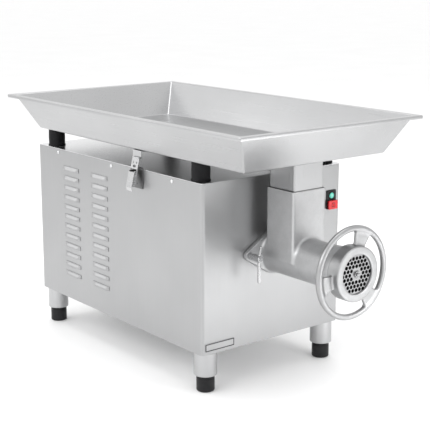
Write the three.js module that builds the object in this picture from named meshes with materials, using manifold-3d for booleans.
// Electric meat grinder, size 32, with a wide feed tray: a floor-standing or bench machine.
// Millimetres, +Z up. The origin is on the floor under the middle of the whole object, the
// grinding head points towards -Y and +X is on the right of somebody who faces the head.
import * as THREE from "three";
import { mergeVertices } from "three/addons/utils/BufferGeometryUtils.js";
import Module from "manifold-3d";

const wasm = await Module();
wasm.setup();

// ---------------------------------------------------------------- driving dimensions
const GAP = 0.3; // left between pieces that touch
const SHEET = 1.5; // stainless sheet
const OVERALL_LENGTH = 1103; // end of the auger pin to the back rim of the tray

const body = { width: 450, depth: 750, bottom: 100, height: 420, bend: 10 };
body.top = body.bottom + body.height;
body.half = body.width / 2;

const leg = { radius: 28.5, wall: 2, bottom: 41, x: 193, front: 28, back: 726 };
const foot = { radius: 22.5, sole: 17.5, stem: 16, top: 82 };
const buffer = { radius: 22.5, x: 198.5, front: 37, back: 698.6 };

const tray = { floor: 567.5, top: 660, front: -150, back: 748, slope: 49, flange: 15, lip: 8 };
const spout = { width: 92, depth: 88, bottom: 488, y: -77.5 };

const head = { axis: 328, neckWidth: 103, neckDepth: 97, neckTop: 498, bore: 48.5, wall: 3.5 };
const ear = { x: 87, radius: 12, hub: 58, thickness: 12, hole: 5.6 };
const mouth = { y: -281, thread: 58, seat: 50.4, seatDepth: 20 };
const nut = { front: -288, back: -252, radius: 65, lip: 46, thread: 59.6 };
const wheel = { y: -268, radius: 104, rim: 7, spokes: [71, 191, 311], spokeWidth: 30 };
const plate = { radius: 50, front: -283, thickness: 9, hole: 3.8, pitch: 10.8 };
const knife = { radius: 46.5, front: -273.7, thickness: 11, square: 19 };
const auger = { radius: 46.5, core: 17, front: -258, back: -30, pitch: 57 };

const gear = { module: 4, wheelTeeth: 36, pinionTeeth: 12 };
gear.centres = (gear.module * (gear.wheelTeeth + gear.pinionTeeth)) / 2;
const stage = { outputFront: 56, inputFront: 92, width: 20 };
const gearbox = { half: 92, front: 42, back: 126, lid: 14, wall: 7, nose: 44 };
const motor = { front: 141, back: 330, radius: 96, bearing: 24, rotor: 54, stator: 56 };
const fan = { front: 340, back: 362, radius: 84 };

const latch = { y: 259, z: 512, out: 13.5, arm: 8, lean: 14, lever: 40, hook: 46 };
const louvre = { length: 78, height: 11, depth: 4.5, rows: 12, pitch: 27, firstTop: 476 };
louvre.columns = [582.5, 441];
const controls = { x: 192.5, z: 429, width: 33, height: 50, startZ: 439.5, stopZ: 416, proud: 2.5 };
const inlet = { x: 150, z: 150, length: 26 };
const badge = { x: -171, z: 118, width: 89, height: 19.5 };

// ---------------------------------------------------------------- materials
function finish(colour, roughness, metalness) {
  return new THREE.MeshStandardMaterial({ color: colour, roughness, metalness });
}

const stainless = finish("#c9ccd0", 0.35, 1);
const castAluminium = finish("#d4d6d8", 0.45, 1);
const steel = finish("#b9bcc0", 0.3, 1);
const blackRubber = finish("#161616", 0.8, 0);
const blackPlastic = finish("#1b1b1d", 0.5, 0);
const green = finish("#2fd6a8", 0.4, 0);
const red = finish("#d61a20", 0.4, 0);
const machinePaint = finish("#6f777d", 0.6, 0);

// ---------------------------------------------------------------- solids and booleans
function signedVolume(points, triangles) {
  let sum = 0;
  for (let i = 0; i < triangles.length; i += 3) {
    const [a, b, c] = [triangles[i], triangles[i + 1], triangles[i + 2]].map((n) => n * 3);
    const cross = [
      points[b + 1] * points[c + 2] - points[b + 2] * points[c + 1],
      points[b + 2] * points[c] - points[b] * points[c + 2],
      points[b] * points[c + 1] - points[b + 1] * points[c],
    ];
    sum += points[a] * cross[0] + points[a + 1] * cross[1] + points[a + 2] * cross[2];
  }
  return sum / 6;
}

// A closed three.js geometry as a manifold solid, with its faces turned outwards.
function solid(geometry) {
  const bare = geometry.clone();
  bare.deleteAttribute("normal");
  bare.deleteAttribute("uv");
  const merged = mergeVertices(bare, 1e-4);
  const points = merged.attributes.position.array;
  const kept = [];
  for (let i = 0; i < merged.index.count; i += 3) {
    const [a, b, c] = [0, 1, 2].map((k) => merged.index.array[i + k]);
    if (a !== b && b !== c && c !== a) {
      kept.push(a, b, c);
    }
  }
  if (signedVolume(points, kept) < 0) {
    kept.reverse();
  }
  const mesh = new wasm.Mesh({
    numProp: 3,
    vertProperties: new Float32Array(points),
    triVerts: new Uint32Array(kept),
  });
  mesh.merge();
  return new wasm.Manifold(mesh);
}

function geometryOf(manifold) {
  const mesh = manifold.getMesh();
  const geometry = new THREE.BufferGeometry();
  geometry.setAttribute("position", new THREE.BufferAttribute(mesh.vertProperties, 3));
  geometry.setIndex(new THREE.BufferAttribute(mesh.triVerts, 1));
  geometry.computeVertexNormals();
  return geometry;
}

function join(...pieces) {
  return geometryOf(pieces.map(solid).reduce((whole, next) => whole.add(next)));
}

function cut(piece, ...tools) {
  return geometryOf(tools.map(solid).reduce((rest, tool) => rest.subtract(tool), solid(piece)));
}

// ---------------------------------------------------------------- primitive shapes
function box(x0, x1, y0, y1, z0, z1) {
  const geometry = new THREE.BoxGeometry(x1 - x0, y1 - y0, z1 - z0);
  return geometry.translate((x0 + x1) / 2, (y0 + y1) / 2, (z0 + z1) / 2);
}

// A block whose foot and head are different rectangles, each given as [x0, x1, y0, y1].
function taper(footRect, headRect, z0, z1) {
  const geometry = new THREE.BoxGeometry(1, 1, 1);
  const position = geometry.attributes.position;
  for (let i = 0; i < position.count; i += 1) {
    const rect = position.getZ(i) > 0 ? headRect : footRect;
    const x = position.getX(i) > 0 ? rect[1] : rect[0];
    const y = position.getY(i) > 0 ? rect[3] : rect[2];
    position.setXYZ(i, x, y, position.getZ(i) > 0 ? z1 : z0);
  }
  return geometry;
}

function points(pairs) {
  return pairs.map(([radius, along]) => new THREE.Vector2(radius, along));
}

// A turned piece about the Y axis through (x, z), from [radius, y] pairs.
function turned(profile, x = 0, z = 0, sides = 24) {
  return new THREE.LatheGeometry(points(profile), sides).translate(x, 0, z);
}

// A turned piece about a vertical axis, from [radius, z] pairs.
function upright(profile, sides = 16) {
  return new THREE.LatheGeometry(points(profile), sides).rotateX(Math.PI / 2);
}

function rod(radius, y0, y1, x = 0, z = 0, sides = 24) {
  return turned([[0, y0], [radius, y0], [radius, y1], [0, y1]], x, z, sides);
}

function ring(outer, inner, y0, y1, x = 0, z = 0, sides = 24) {
  const profile = [[inner, y0], [outer, y0], [outer, y1], [inner, y1], [inner, y0]];
  return turned(profile, x, z, sides);
}

// A flat outline drawn in X and Z, as thick as the stretch from y0 to y1.
function slab(shape, y0, y1, curveSegments = 8, steps = 1) {
  const options = { depth: y1 - y0, bevelEnabled: false, curveSegments, steps };
  return new THREE.ExtrudeGeometry(shape, options).rotateX(Math.PI / 2).translate(0, y1, 0);
}

// A plan outline drawn in X and Y, standing from z0 to z1.
function column(shape, z0, z1, curveSegments = 6) {
  const options = { depth: z1 - z0, bevelEnabled: false, curveSegments };
  return new THREE.ExtrudeGeometry(shape, options).translate(0, 0, z0);
}

function polygon(pairs) {
  return new THREE.Shape(points(pairs));
}

// The corners of a regular polygon that stands for a circle.
function circle(radius, sides, x = 0, y = 0) {
  const corners = [];
  for (let side = 0; side < sides; side += 1) {
    const turn = (2 * Math.PI * side) / sides;
    corners.push(new THREE.Vector2(x + radius * Math.cos(turn), y + radius * Math.sin(turn)));
  }
  return corners;
}

function roundedRectangle(x0, x1, y0, y1, radius) {
  const shape = new THREE.Shape();
  shape.absarc(x1 - radius, y0 + radius, radius, -Math.PI / 2, 0);
  shape.absarc(x1 - radius, y1 - radius, radius, 0, Math.PI / 2);
  shape.absarc(x0 + radius, y1 - radius, radius, Math.PI / 2, Math.PI);
  shape.absarc(x0 + radius, y0 + radius, radius, Math.PI, 1.5 * Math.PI);
  shape.closePath();
  return shape;
}

function radians(degrees) {
  return THREE.MathUtils.degToRad(degrees);
}

const root = new THREE.Group();
const machine = new THREE.Group(); // its Y is measured back from the front panel
machine.position.y = OVERALL_LENGTH / 2 - (tray.back + tray.slope + tray.flange);
root.add(machine);

function add(name, geometry, material, parent = machine) {
  const mesh = new THREE.Mesh(geometryOf(solid(geometry)), material);
  mesh.name = name;
  parent.add(mesh);
  return mesh;
}

function place(mesh, x, y, z = 0) {
  mesh.position.set(x, y, z);
  return mesh;
}

// The four corners that legs, feet and buffers repeat at.
function corners(spot) {
  return [
    ["front_left", -spot.x, spot.front],
    ["front_right", spot.x, spot.front],
    ["back_left", -spot.x, spot.back],
    ["back_right", spot.x, spot.back],
  ];
}

// ---------------------------------------------------------------- housing
function planOfWrap() {
  const { half, depth, bend } = body;
  const shape = new THREE.Shape();
  shape.moveTo(-half, depth);
  shape.lineTo(-half, bend);
  shape.absarc(bend - half, bend, bend, Math.PI, 1.5 * Math.PI);
  shape.absarc(half - bend, bend, bend, 1.5 * Math.PI, 2 * Math.PI);
  shape.lineTo(half, depth);
  shape.lineTo(half - SHEET, depth);
  shape.absarc(half - bend, bend, bend - SHEET, 0, -Math.PI / 2, true);
  shape.absarc(bend - half, bend, bend - SHEET, -Math.PI / 2, -Math.PI, true);
  shape.lineTo(SHEET - half, depth);
  shape.closePath();
  return shape;
}

// A pressed vent: a hood that leans out of the sheet and is open below.
function louvreHood(side, y, top) {
  const wall = side * body.half;
  const inset = side * SHEET;
  const tip = wall + side * louvre.depth;
  const low = top - louvre.height;
  const outline = [[wall - inset / 2, top], [tip, low], [tip - inset, low], [wall - inset / 2, top - 3]];
  return slab(polygon(outline), y - louvre.length / 2, y + louvre.length / 2);
}

function louvreSlot(side, y, top) {
  const wall = side * body.half;
  const [x0, x1] = [wall - 3 * side, wall + 3 * side].sort((a, b) => a - b);
  const halfLength = louvre.length / 2 - SHEET;
  return box(x0, x1, y - halfLength, y + halfLength, top - louvre.height + 1, top - 4.5);
}

function louvres(make) {
  const made = [];
  for (const side of [-1, 1]) {
    for (const y of louvre.columns) {
      for (let row = 0; row < louvre.rows; row += 1) {
        made.push(make(side, y, louvre.firstTop - row * louvre.pitch));
      }
    }
  }
  return made;
}

function housing() {
  const sheet = column(planOfWrap(), body.bottom, body.top - SHEET - GAP);
  const slotted = cut(sheet, ...louvres(louvreSlot));
  const hooded = join(slotted, ...louvres(louvreHood));
  const [before, behind] = [-2, 4]; // where the tools that pierce the front panel start and stop
  const noseHole = rod(gearbox.nose + 1.5, before, behind, 0, head.axis);
  const studHoles = [-ear.x, ear.x].map((x) => rod(ear.hole, before, behind, x, head.axis, 12));
  const windowX = [controls.x - 13.6, controls.x + 13.6];
  const windowZ = [controls.z - 24.2, controls.z + 24.2];
  const window = box(...windowX, before, behind, ...windowZ);
  add("housing_wrap", cut(hooded, noseHole, ...studHoles, window), stainless);

  const inner = body.half - SHEET - GAP;
  const lidSkin = roundedRectangle(-body.half, body.half, 0, body.depth, 9);
  const lid = column(lidSkin, body.top - SHEET, body.top);
  const [inset, fold] = [22, 24]; // the turned-down flange: back from the edges, and its depth
  const lidFlange = [-inner, inner, inset, body.depth - inset];
  const flange = box(...lidFlange, body.top - fold, body.top - SHEET / 2);
  const under = box(-inner + SHEET, inner - SHEET, 0, body.depth, 0, body.top - SHEET);
  add("top_panel", join(lid, cut(flange, under)), stainless);

  const [rearLow, rearHigh, rearFold] = [body.bottom + 4, body.top - 3, 18];
  const rearOuter = box(-inner, inner, body.depth - rearFold, body.depth, rearLow, rearHigh);
  const hollow = [-inner + SHEET, inner - SHEET, 0, body.depth - SHEET];
  const rearInner = box(...hollow, rearLow + SHEET, rearHigh - SHEET);
  const glandHole = rod(10.4, body.depth - 5, body.depth + 5, inlet.x, inlet.z);
  add("rear_panel", cut(rearOuter, rearInner, glandHole), stainless);

  const floorFront = body.bend + 2;
  add("base_plate", box(-inner, inner, floorFront, body.depth - 2, body.bottom, body.bottom + 3), steel);

  const badgeX = [badge.x - badge.width / 2, badge.x + badge.width / 2];
  const badgeZ = [badge.z - badge.height / 2, badge.z + badge.height / 2];
  add("nameplate", box(...badgeX, -GAP - 0.9, -GAP, ...badgeZ), steel);

  const wall = body.depth + GAP;
  const end = body.depth + inlet.length;
  const gland = [[7, end - 6], [7, end], [11, end - 2], [12, end - 7], [12, end - 12], [14, end - 12]];
  const tail = [[14, wall], [10, wall], [10, body.depth - 12], [7, body.depth - 12], [7, end - 6]];
  add("cable_gland", turned([...gland, ...tail], inlet.x, inlet.z, 16), blackPlastic);
}

function legsAndFeet() {
  const { radius, wall, bottom } = leg;
  const lipRadius = foot.radius + 0.5;
  const tubeProfile = [
    [radius - wall, body.bottom - GAP],
    [radius, body.bottom - GAP],
    [radius, bottom + 6],
    [radius - 1.2, bottom + 2.4],
    [radius - 3.6, bottom],
    [lipRadius, bottom],
    [lipRadius, bottom + 3],
    [radius - wall, bottom + 7],
    [radius - wall, body.bottom - GAP],
  ];
  const sole = [[0, 0], [foot.sole, 0], [foot.radius - 1.4, 1.4], [foot.radius, 5]];
  const stem = [[foot.radius, 44], [foot.stem, 46], [foot.stem, foot.top], [0, foot.top]];
  for (const [corner, x, y] of corners(leg)) {
    place(add(`leg_${corner}`, upright(tubeProfile), stainless), x, y);
    place(add(`foot_${corner}`, upright([...sole, ...stem]), blackPlastic), x, y);
  }
}

function rubberBuffers() {
  const low = body.top + GAP;
  const high = tray.floor - SHEET - GAP;
  const { radius } = buffer;
  const profile = [[0, low], [radius + 1.5, low], [radius, low + 5], [radius, high], [0, high]];
  for (const [corner, x, y] of corners(buffer)) {
    place(add(`buffer_${corner}`, upright(profile), blackRubber), x, y);
  }
}

// ---------------------------------------------------------------- tray and spout
function grown(rect, by) {
  return [rect[0] - by, rect[1] + by, rect[2] - by, rect[3] + by];
}

function feedTray() {
  const floorRect = [-body.half, body.half, tray.front, tray.back];
  const rimRect = grown(floorRect, tray.slope);
  const edgeRect = grown(rimRect, tray.flange);
  const under = tray.floor - SHEET;
  const skin = SHEET * 1.1;
  const outside = taper(floorRect, rimRect, under, tray.top);
  const flangeSlab = box(...edgeRect, tray.top - SHEET, tray.top);
  const lipOuter = box(...edgeRect, tray.top - tray.lip, tray.top);
  const lipInner = box(...grown(edgeRect, -SHEET), tray.top - tray.lip - 1, tray.top - SHEET);
  const inside = taper(grown(floorRect, -skin), grown(rimRect, -skin), tray.floor, tray.top + 0.01);
  const halfX = spout.width / 2 - SHEET;
  const halfY = spout.depth / 2 - SHEET;
  const throat = box(-halfX, halfX, spout.y - halfY, spout.y + halfY, under - 5, tray.floor + 5);
  const turnedDown = cut(lipOuter, lipInner);
  add("feed_tray", cut(join(outside, flangeSlab, turnedDown), inside, throat), stainless);

  const [wide, deep] = [spout.width / 2, spout.depth / 2];
  const ductOuter = [-wide, wide, spout.y - deep, spout.y + deep];
  const duct = box(...ductOuter, spout.bottom, under - GAP);
  const bore = box(...grown(ductOuter, -SHEET), spout.bottom - 1, under + 1);
  add("feed_spout", cut(duct, bore), stainless);
}

// ---------------------------------------------------------------- toggle latches
// Each latch stands on a side of the housing: X is measured out of the wall, which is at 0.
function latchParts(side, name) {
  const bench = new THREE.Group();
  bench.position.set(side * body.half, latch.y, latch.z);
  bench.rotation.z = side > 0 ? 0 : Math.PI;
  machine.add(bench);
  const { out, arm, lever } = latch;
  const lean = radians(latch.lean);

  const backPlate = box(GAP, GAP + 2, -22, 22, -42, 13);
  const cheeks = [-9.75, 9.75].map((y) => {
    const web = box(1, out, y - 0.75, y + 0.75, -4.6, 4.6);
    return join(web, rod(4.6, y - 0.75, y + 0.75, out, 0, 12));
  });
  const pivot = rod(2, -12.6, 12.6, out, 0, 12);
  add(`latch_base_${name}`, join(backPlate, ...cheeks, pivot), steel, bench);

  // The lever and hook are drawn upright about the pivot and then leaned outwards.
  const swing = new THREE.Group();
  swing.position.set(out, 0, 0);
  swing.rotation.y = -lean;
  bench.add(swing);
  const webOut = 5;
  const width = [-12.5, 12.5];
  const grip = box(webOut, webOut + 1.5, ...width, -lever, 0);
  const tip = [[webOut, -lever], [webOut + 1.5, -lever], [1, -lever - 8], [-0.5, -lever - 7]];
  const curl = slab(polygon(tip), ...width);
  const sides = [-11.75, 11.75].map((y) => box(-3.6, webOut + 1, y - 0.75, y + 0.75, -lever + 4, 3.6));
  const pivotHole = rod(2.35, -20, 20, 0, 0, 12);
  const hookHole = rod(2.35, -20, 20, 0, -arm, 12);
  add(`latch_lever_${name}`, cut(join(grip, curl, ...sides), pivotHole, hookHole), steel, swing);

  const reach = latch.hook - arm;
  const strap = box(-1, 1, -15, 15, 8, reach);
  const tines = [-14, 14].map((y) => box(-1.6, 1.6, y - 1, y + 1, -arm - 3, 9));
  const pin = rod(1.95, -14.5, 14.5, 0, -arm, 12);
  const slot = box(-3, 3, -6, 6, 12, 19);
  add(`latch_hook_${name}`, cut(join(strap, ...tines, pin), slot), steel, swing);

  const keeperTop = tray.floor - SHEET - GAP - latch.z;
  const tongue = box(0, 2.4, -18.5, 18.5, 34, keeperTop);
  const tab = box(-24, 1, -18.5, 18.5, keeperTop - 2, keeperTop);
  add(`latch_keeper_${name}`, join(tongue, tab), steel, bench);
}

// ---------------------------------------------------------------- grinding head
function earOutline() {
  const spread = Math.acos((ear.hub - ear.radius) / ear.x);
  const shape = new THREE.Shape();
  shape.absarc(ear.x, 0, ear.radius, -spread, spread);
  shape.absarc(0, 0, ear.hub, spread, Math.PI - spread);
  shape.absarc(-ear.x, 0, ear.radius, Math.PI - spread, Math.PI + spread);
  shape.absarc(0, 0, ear.hub, Math.PI + spread, 2 * Math.PI - spread);
  shape.closePath();
  return shape;
}

function headCasting() {
  const { axis, bore, wall } = head;
  const flangeFront = -ear.thickness - GAP;
  const barrelProfile = [
    [0, flangeFront + 2],
    [52, flangeFront + 2],
    [52, -190],
    [54, -225],
    [mouth.thread, -244],
    [mouth.thread, mouth.y],
    [0, mouth.y],
  ];
  const barrel = turned(barrelProfile, 0, axis, 28);
  const flange = slab(earOutline(), flangeFront, -GAP, 4).translate(0, 0, axis);
  const neckBack = spout.y + head.neckDepth / 2;
  const neckFront = spout.y - head.neckDepth / 2;
  const half = head.neckWidth / 2;
  const neck = column(roundedRectangle(-half, half, neckFront, neckBack, 6), axis, head.neckTop, 3);
  const hopper = box(wall - half, half - wall, neckFront + wall, neckBack - wall, axis, head.neckTop + 5);
  const chamber = rod(bore, mouth.y - 5, -24, 0, axis, 28);
  const seat = rod(mouth.seat, mouth.y - 5, mouth.y + mouth.seatDepth, 0, axis, 28);
  const shaftHole = rod(22.5, -40, 5, 0, axis);
  const earHoles = [-ear.x, ear.x].map((x) => rod(ear.hole, -30, 5, x, axis, 12));
  const cast = join(barrel, flange, neck);
  add("grinder_head", cut(cast, hopper, chamber, seat, shaftHole, ...earHoles), castAluminium);
}

function augerScrew() {
  const length = auger.back - auger.front;
  const thread = new THREE.Shape();
  const tipSpread = radians(32);
  const rootSpread = radians(62);
  thread.absarc(0, 0, auger.radius, -tipSpread, tipSpread);
  thread.absarc(0, 0, auger.core, rootSpread, 2 * Math.PI - rootSpread);
  thread.closePath();
  const steps = Math.round((length / auger.pitch) * 10);
  const flight = slab(thread, auger.front, auger.back, 3, steps);
  const position = flight.attributes.position;
  const turn = new THREE.Vector3();
  const lengthwise = new THREE.Vector3(0, 1, 0);
  for (let i = 0; i < position.count; i += 1) {
    turn.fromBufferAttribute(position, i);
    turn.applyAxisAngle(lengthwise, (2 * Math.PI * (turn.y - auger.front)) / auger.pitch);
    position.setXYZ(i, turn.x, turn.y, turn.z);
  }
  const collar = rod(21, auger.back - 2, -20.4, 0, 0, 16);
  const tang = box(-9, 9, -22, 14, -9, 9);
  const pinBore = rod(9.4, auger.front - 5, auger.front + 20, 0, 0, 16);
  const worm = cut(join(flight, collar, tang), pinBore);
  place(add("auger", worm, steel), 0, 0, head.axis);
}

function cutters() {
  const square = knife.square / 2;
  const knifeBack = knife.front + knife.thickness;
  const shank = rod(9, auger.front + 18, auger.front + 2, 0, 0, 16);
  const key = box(-square, square, knife.front, auger.front - GAP, -square, square);
  const stem = rod(9, auger.front - 1, auger.front + 18, 0, 0, 16);
  const journal = rod(9, plate.front - 0.5, knife.front, 0, 0, 16);
  const nutFlat = rod(8, plate.front - 4, plate.front, 0, 0, 6);
  const tip = rod(4.5, plate.front - 8, plate.front - 3, 0, 0, 16);
  place(add("auger_pin", join(key, stem, shank, journal, nutFlat, tip), steel), 0, 0, head.axis);

  const blade = new THREE.Shape();
  const hubRadius = 19;
  for (let arm = 0; arm < 4; arm += 1) {
    const along = (arm * Math.PI) / 2;
    const tipRadius = knife.radius;
    blade.absarc(0, 0, hubRadius, along - 1.15, along - 0.42);
    blade.lineTo(tipRadius * Math.cos(along - 0.2), tipRadius * Math.sin(along - 0.2));
    blade.lineTo(tipRadius * Math.cos(along + 0.12), tipRadius * Math.sin(along + 0.12));
  }
  blade.closePath();
  const eye = square + 0.4;
  const eyeHole = box(-eye, eye, knife.front - 5, knifeBack + 5, -eye, eye);
  place(add("knife", cut(slab(blade, knife.front, knifeBack, 4), eyeHole), steel), 0, 0, head.axis);

  const disc = new THREE.Shape(circle(plate.radius, 28));
  disc.holes.push(new THREE.Path(circle(9.5, 16)));
  const rows = Math.ceil(plate.radius / plate.pitch) + 1;
  for (let row = -rows; row <= rows; row += 1) {
    for (let step = -rows; step <= rows; step += 1) {
      const x = plate.pitch * (step + (Math.abs(row) % 2) / 2);
      const z = (plate.pitch * row * Math.sqrt(3)) / 2;
      const away = Math.hypot(x, z);
      if (away > 16 && away < plate.radius - 5.5) {
        disc.holes.push(new THREE.Path(circle(plate.hole, 6, x, z)));
      }
    }
  }
  const perforated = slab(disc, plate.front, plate.front + plate.thickness);
  place(add("hole_plate", perforated, steel), 0, 0, head.axis);
}

function ringNut() {
  const { front, back, radius, lip, thread } = nut;
  const lipBack = plate.front - GAP;
  const shellProfile = [
    [lip, front],
    [radius - 3, front],
    [radius, front + 3],
    [radius, back],
    [thread, back],
    [thread, lipBack],
    [lip, lipBack],
    [lip, front],
  ];
  const shell = turned(shellProfile, 0, 0, 28);
  const rimProfile = [];
  for (let i = 0; i <= 8; i += 1) {
    const angle = (-i * Math.PI) / 4;
    rimProfile.push([wheel.radius + wheel.rim * Math.cos(angle), wheel.y + wheel.rim * Math.sin(angle)]);
  }
  const rim = turned(rimProfile, 0, 0, 36);
  const spokes = wheel.spokes.map((degrees) => {
    const middle = radians(degrees);
    const half = radians(wheel.spokeWidth / 2);
    const web = new THREE.Shape();
    web.absarc(0, 0, wheel.radius - 2, middle - half, middle + half);
    web.absarc(0, 0, radius - 2, middle + half, middle - half, true);
    web.closePath();
    return slab(web, wheel.y - 4, wheel.y + 4, 4);
  });
  place(add("ring_nut_handwheel", join(shell, rim, ...spokes), castAluminium), 0, 0, head.axis);
}

function clampScrew(side, name) {
  const hubFront = -52;
  const hubBack = -ear.thickness - 2 * GAP;
  const barY = -46;
  const hole = ear.x * side;
  place(add(`clamp_stud_${name}`, rod(4.6, hubFront + 3, 16, 0, 0, 12), steel), hole, 0, head.axis);
  const hub = rod(8, hubFront, hubBack, 0, 0, 12);
  const arm = new THREE.CylinderGeometry(4, 4, 56, 10).rotateX(Math.PI / 2).translate(0, barY, -33);
  const short = new THREE.CylinderGeometry(4, 4, 26, 10).rotateX(Math.PI / 2).translate(0, 0, 18);
  short.rotateY(radians(-12 * side)).translate(0, barY, 0);
  const threadHole = rod(5, hubFront + 2, hubBack + 5, 0, 0, 12);
  place(add(`clamp_handle_${name}`, cut(join(hub, arm, short), threadHole), steel), hole, 0, head.axis);
}

// ---------------------------------------------------------------- drive train
// Straight-flanked teeth with wide backlash; a tooth or a gap points along +X before phase.
function toothedOutline(teeth, phaseTeeth, boreRadius) {
  const pitchRadius = (gear.module * teeth) / 2;
  const tip = pitchRadius + gear.module * 0.8;
  const rootRadius = pitchRadius - gear.module * 1.15;
  const pitchAngle = (2 * Math.PI) / teeth;
  const shape = new THREE.Shape();
  for (let tooth = 0; tooth < teeth; tooth += 1) {
    const middle = (tooth + phaseTeeth) * pitchAngle;
    const spots = [[rootRadius, -0.3], [tip, -0.11], [tip, 0.11], [rootRadius, 0.3]];
    for (const [radius, offset] of spots) {
      const angle = middle + offset * pitchAngle;
      const next = [radius * Math.cos(angle), radius * Math.sin(angle)];
      if (tooth === 0 && offset === -0.3) {
        shape.moveTo(...next);
      } else {
        shape.lineTo(...next);
      }
    }
  }
  shape.closePath();
  if (boreRadius > 0) {
    shape.holes.push(new THREE.Path(circle(boreRadius, 16)));
  }
  return shape;
}

function driveTrain() {
  const outputZ = head.axis;
  const layZ = head.axis - gear.centres;
  const outputBack = stage.outputFront + stage.width;
  const inputBack = stage.inputFront + stage.width;
  const lidBack = gearbox.back + gearbox.lid;

  const socket = box(-9.4, 9.4, -25, 18, -9.4, 9.4);
  place(add("output_shaft", cut(rod(20, -18, outputBack + 4, 0, 0, 16), socket), steel), 0, 0, outputZ);
  const outputWheel = toothedOutline(gear.wheelTeeth, 0, 20.4);
  place(add("output_gear", slab(outputWheel, stage.outputFront, outputBack), steel), 0, 0, outputZ);

  const layRod = rod(10, gearbox.front + 3, lidBack - 4, 0, 0, 16);
  const layPinion = slab(toothedOutline(gear.pinionTeeth, 0.5, 0), stage.outputFront, outputBack);
  const shoulder = rod(14, stage.inputFront - 8, stage.inputFront - GAP, 0, 0, 16);
  place(add("layshaft", join(layRod, layPinion, shoulder), steel), 0, 0, layZ);
  const layWheel = toothedOutline(gear.wheelTeeth, 0, 10.4);
  place(add("layshaft_gear", slab(layWheel, stage.inputFront, inputBack), steel), 0, 0, layZ);

  const shaft = rod(10, stage.inputFront - 4, fan.back + 2, 0, 0, 16);
  const rotor = rod(motor.rotor, motor.front + 30, motor.back - 30);
  const inputPinion = slab(toothedOutline(gear.pinionTeeth, 0.5, 0), stage.inputFront, inputBack);
  place(add("motor_rotor", join(shaft, rotor, inputPinion), steel), 0, 0, outputZ);

  const fanHub = ring(18, 10.4, fan.front, fan.back, 0, 0, 16);
  const vanes = [0, 1, 2, 3, 4, 5].map((vane) => {
    const blade = box(16, fan.radius, fan.front + 3, fan.back - 2, -1.2, 1.2);
    return blade.rotateY((vane * Math.PI) / 3);
  });
  place(add("motor_fan", join(fanHub, ...vanes), blackPlastic), 0, 0, outputZ);

  casings(outputZ, layZ, lidBack);
  bearings(outputZ, layZ, lidBack);
}

function casings(outputZ, layZ, lidBack) {
  const { half, front, back, wall, nose } = gearbox;
  const bottom = layZ - half;
  const top = outputZ + half;
  const shell = box(-half, half, front, back, bottom, top);
  const room = box(wall - half, half - wall, front + 12, back + 5, bottom + wall, top - wall);
  const noseTube = rod(nose, SHEET + GAP, front + 2, 0, outputZ);
  const noseBore = rod(31.4, -5, 60, 0, outputZ);
  const layPocket = rod(23.4, front + 2, front + 20, 0, layZ);
  const cover = cut(join(shell, noseTube), room, noseBore, layPocket);
  add("gearbox_case", cover, castAluminium);

  const lidPlate = box(-half, half, back + GAP, lidBack, bottom, top);
  const shaftBore = rod(24, back - 5, lidBack + 5, 0, outputZ);
  const layBore = rod(23.4, back - 5, lidBack - 2.5, 0, layZ);
  add("gearbox_lid", cut(lidPlate, shaftBore, layBore), castAluminium);

  const { radius, bearing, stator } = motor;
  const motorProfile = [
    [bearing, motor.front],
    [radius, motor.front],
    [radius, motor.back],
    [bearing, motor.back],
    [bearing, motor.back - 16],
    [stator, motor.back - 22],
    [stator, motor.front + 22],
    [bearing, motor.front + 16],
    [bearing, motor.front],
  ];
  const terminalBox = box(-42, 42, 200, 290, outputZ + radius - 6, outputZ + radius + 40);
  add("motor_housing", join(turned(motorProfile, 0, outputZ), terminalBox), machinePaint);

  const cowlBack = fan.back + 12;
  const cowlProfile = [
    [radius - 2, motor.back + GAP],
    [radius, motor.back + GAP],
    [radius, cowlBack],
    [50, cowlBack],
    [50, cowlBack - 2],
    [radius - 2, cowlBack - 2],
    [radius - 2, motor.back + GAP],
  ];
  add("fan_cowl", turned(cowlProfile, 0, outputZ), machinePaint);

  const deck = body.bottom + 3 + GAP;
  const gearboxSeat = box(-70, 70, front + 10, back - 10, deck, bottom - GAP);
  const rails = box(-70, 70, front + 10, 280, deck, deck + 12);
  const saddle = box(-60, 60, 200, 280, deck, outputZ - 60);
  const motorBed = rod(radius + GAP, 190, 290, 0, outputZ);
  add("drive_cradle", cut(join(gearboxSeat, rails, saddle), motorBed), steel);
  add("contactor_box", box(110, 185, 420, 520, deck, deck + 90), blackPlastic);
}

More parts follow.
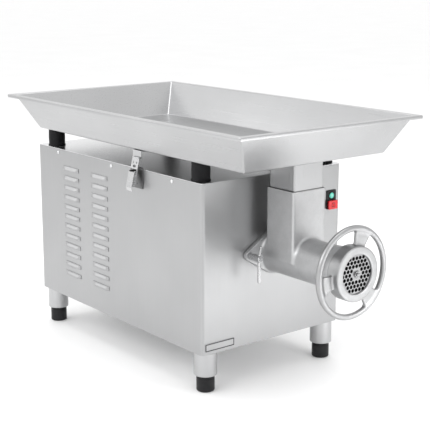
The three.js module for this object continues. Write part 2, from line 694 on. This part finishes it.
function bearings(outputZ, layZ, lidBack) {
  const outputRace = ring(31, 20.4, -7, 7, 0, 0, 16);
  place(add("output_bearing_front", outputRace, steel), 0, 19, outputZ);
  place(add("output_bearing_back", outputRace, steel), 0, 44, outputZ);
  const seal = ring(31, 20.6, 4, 10, 0, 0, 16);
  place(add("shaft_seal", seal, blackRubber), 0, 0, outputZ);
  const layRace = ring(23, 10.4, -4.5, 4.5, 0, 0, 16);
  place(add("layshaft_bearing_front", layRace, steel), 0, gearbox.front + 7, layZ);
  place(add("layshaft_bearing_back", layRace, steel), 0, lidBack - 8, layZ);
  const motorRace = ring(23.6, 10.4, -6, 6, 0, 0, 16);
  place(add("motor_bearing_front", motorRace, steel), 0, motor.front + 8, outputZ);
  place(add("motor_bearing_back", motorRace, steel), 0, motor.back - 8, outputZ);
}

// ---------------------------------------------------------------- controls
function switchUnit() {
  const { x, z, width, height } = controls;
  const frontFace = -controls.proud;
  const bezelShape = roundedRectangle(x - width / 2, x + width / 2, z - height / 2, z + height / 2, 3);
  const bezel = slab(bezelShape, frontFace, -GAP, 3);
  const rear = box(x - 13, x + 13, -1, 34, z - 23.8, z + 23.8);
  const startWell = rod(8, frontFace - 1, 8, x, controls.startZ, 20);
  const [wellLow, wellHigh] = [controls.stopZ - 10.4, controls.stopZ + 10.4];
  const stopWell = box(x - 12.4, x + 12.4, frontFace - 1, 8, wellLow, wellHigh);
  add("switch_body", cut(join(bezel, rear), startWell, stopWell), blackPlastic);

  const startCap = [[0, -4.5], [6.4, -4.5], [7.5, -3.5], [7.5, 4.5], [0, 4.5]];
  place(add("start_button", turned(startCap, 0, 0, 20), green), x, 0, controls.startZ);

  const stopBack = frontFace - 3.4; // leaves room for the 3 mm that it presses in
  const stopHead = box(-15.5, 15.5, stopBack - 4.5, stopBack, -11.5, 11.5);
  const stopStem = box(-12, 12, stopBack - 1, 4.5, -10, 10);
  place(add("stop_button", join(stopHead, stopStem), red), x, 0, controls.stopZ);
}

// ---------------------------------------------------------------- assembly
housing();
legsAndFeet();
rubberBuffers();
feedTray();
for (const [side, name] of [[-1, "left"], [1, "right"]]) {
  latchParts(side, name);
  clampScrew(side, name);
}
headCasting();
augerScrew();
cutters();
ringNut();
driveTrain();
switchUnit();

export default root;
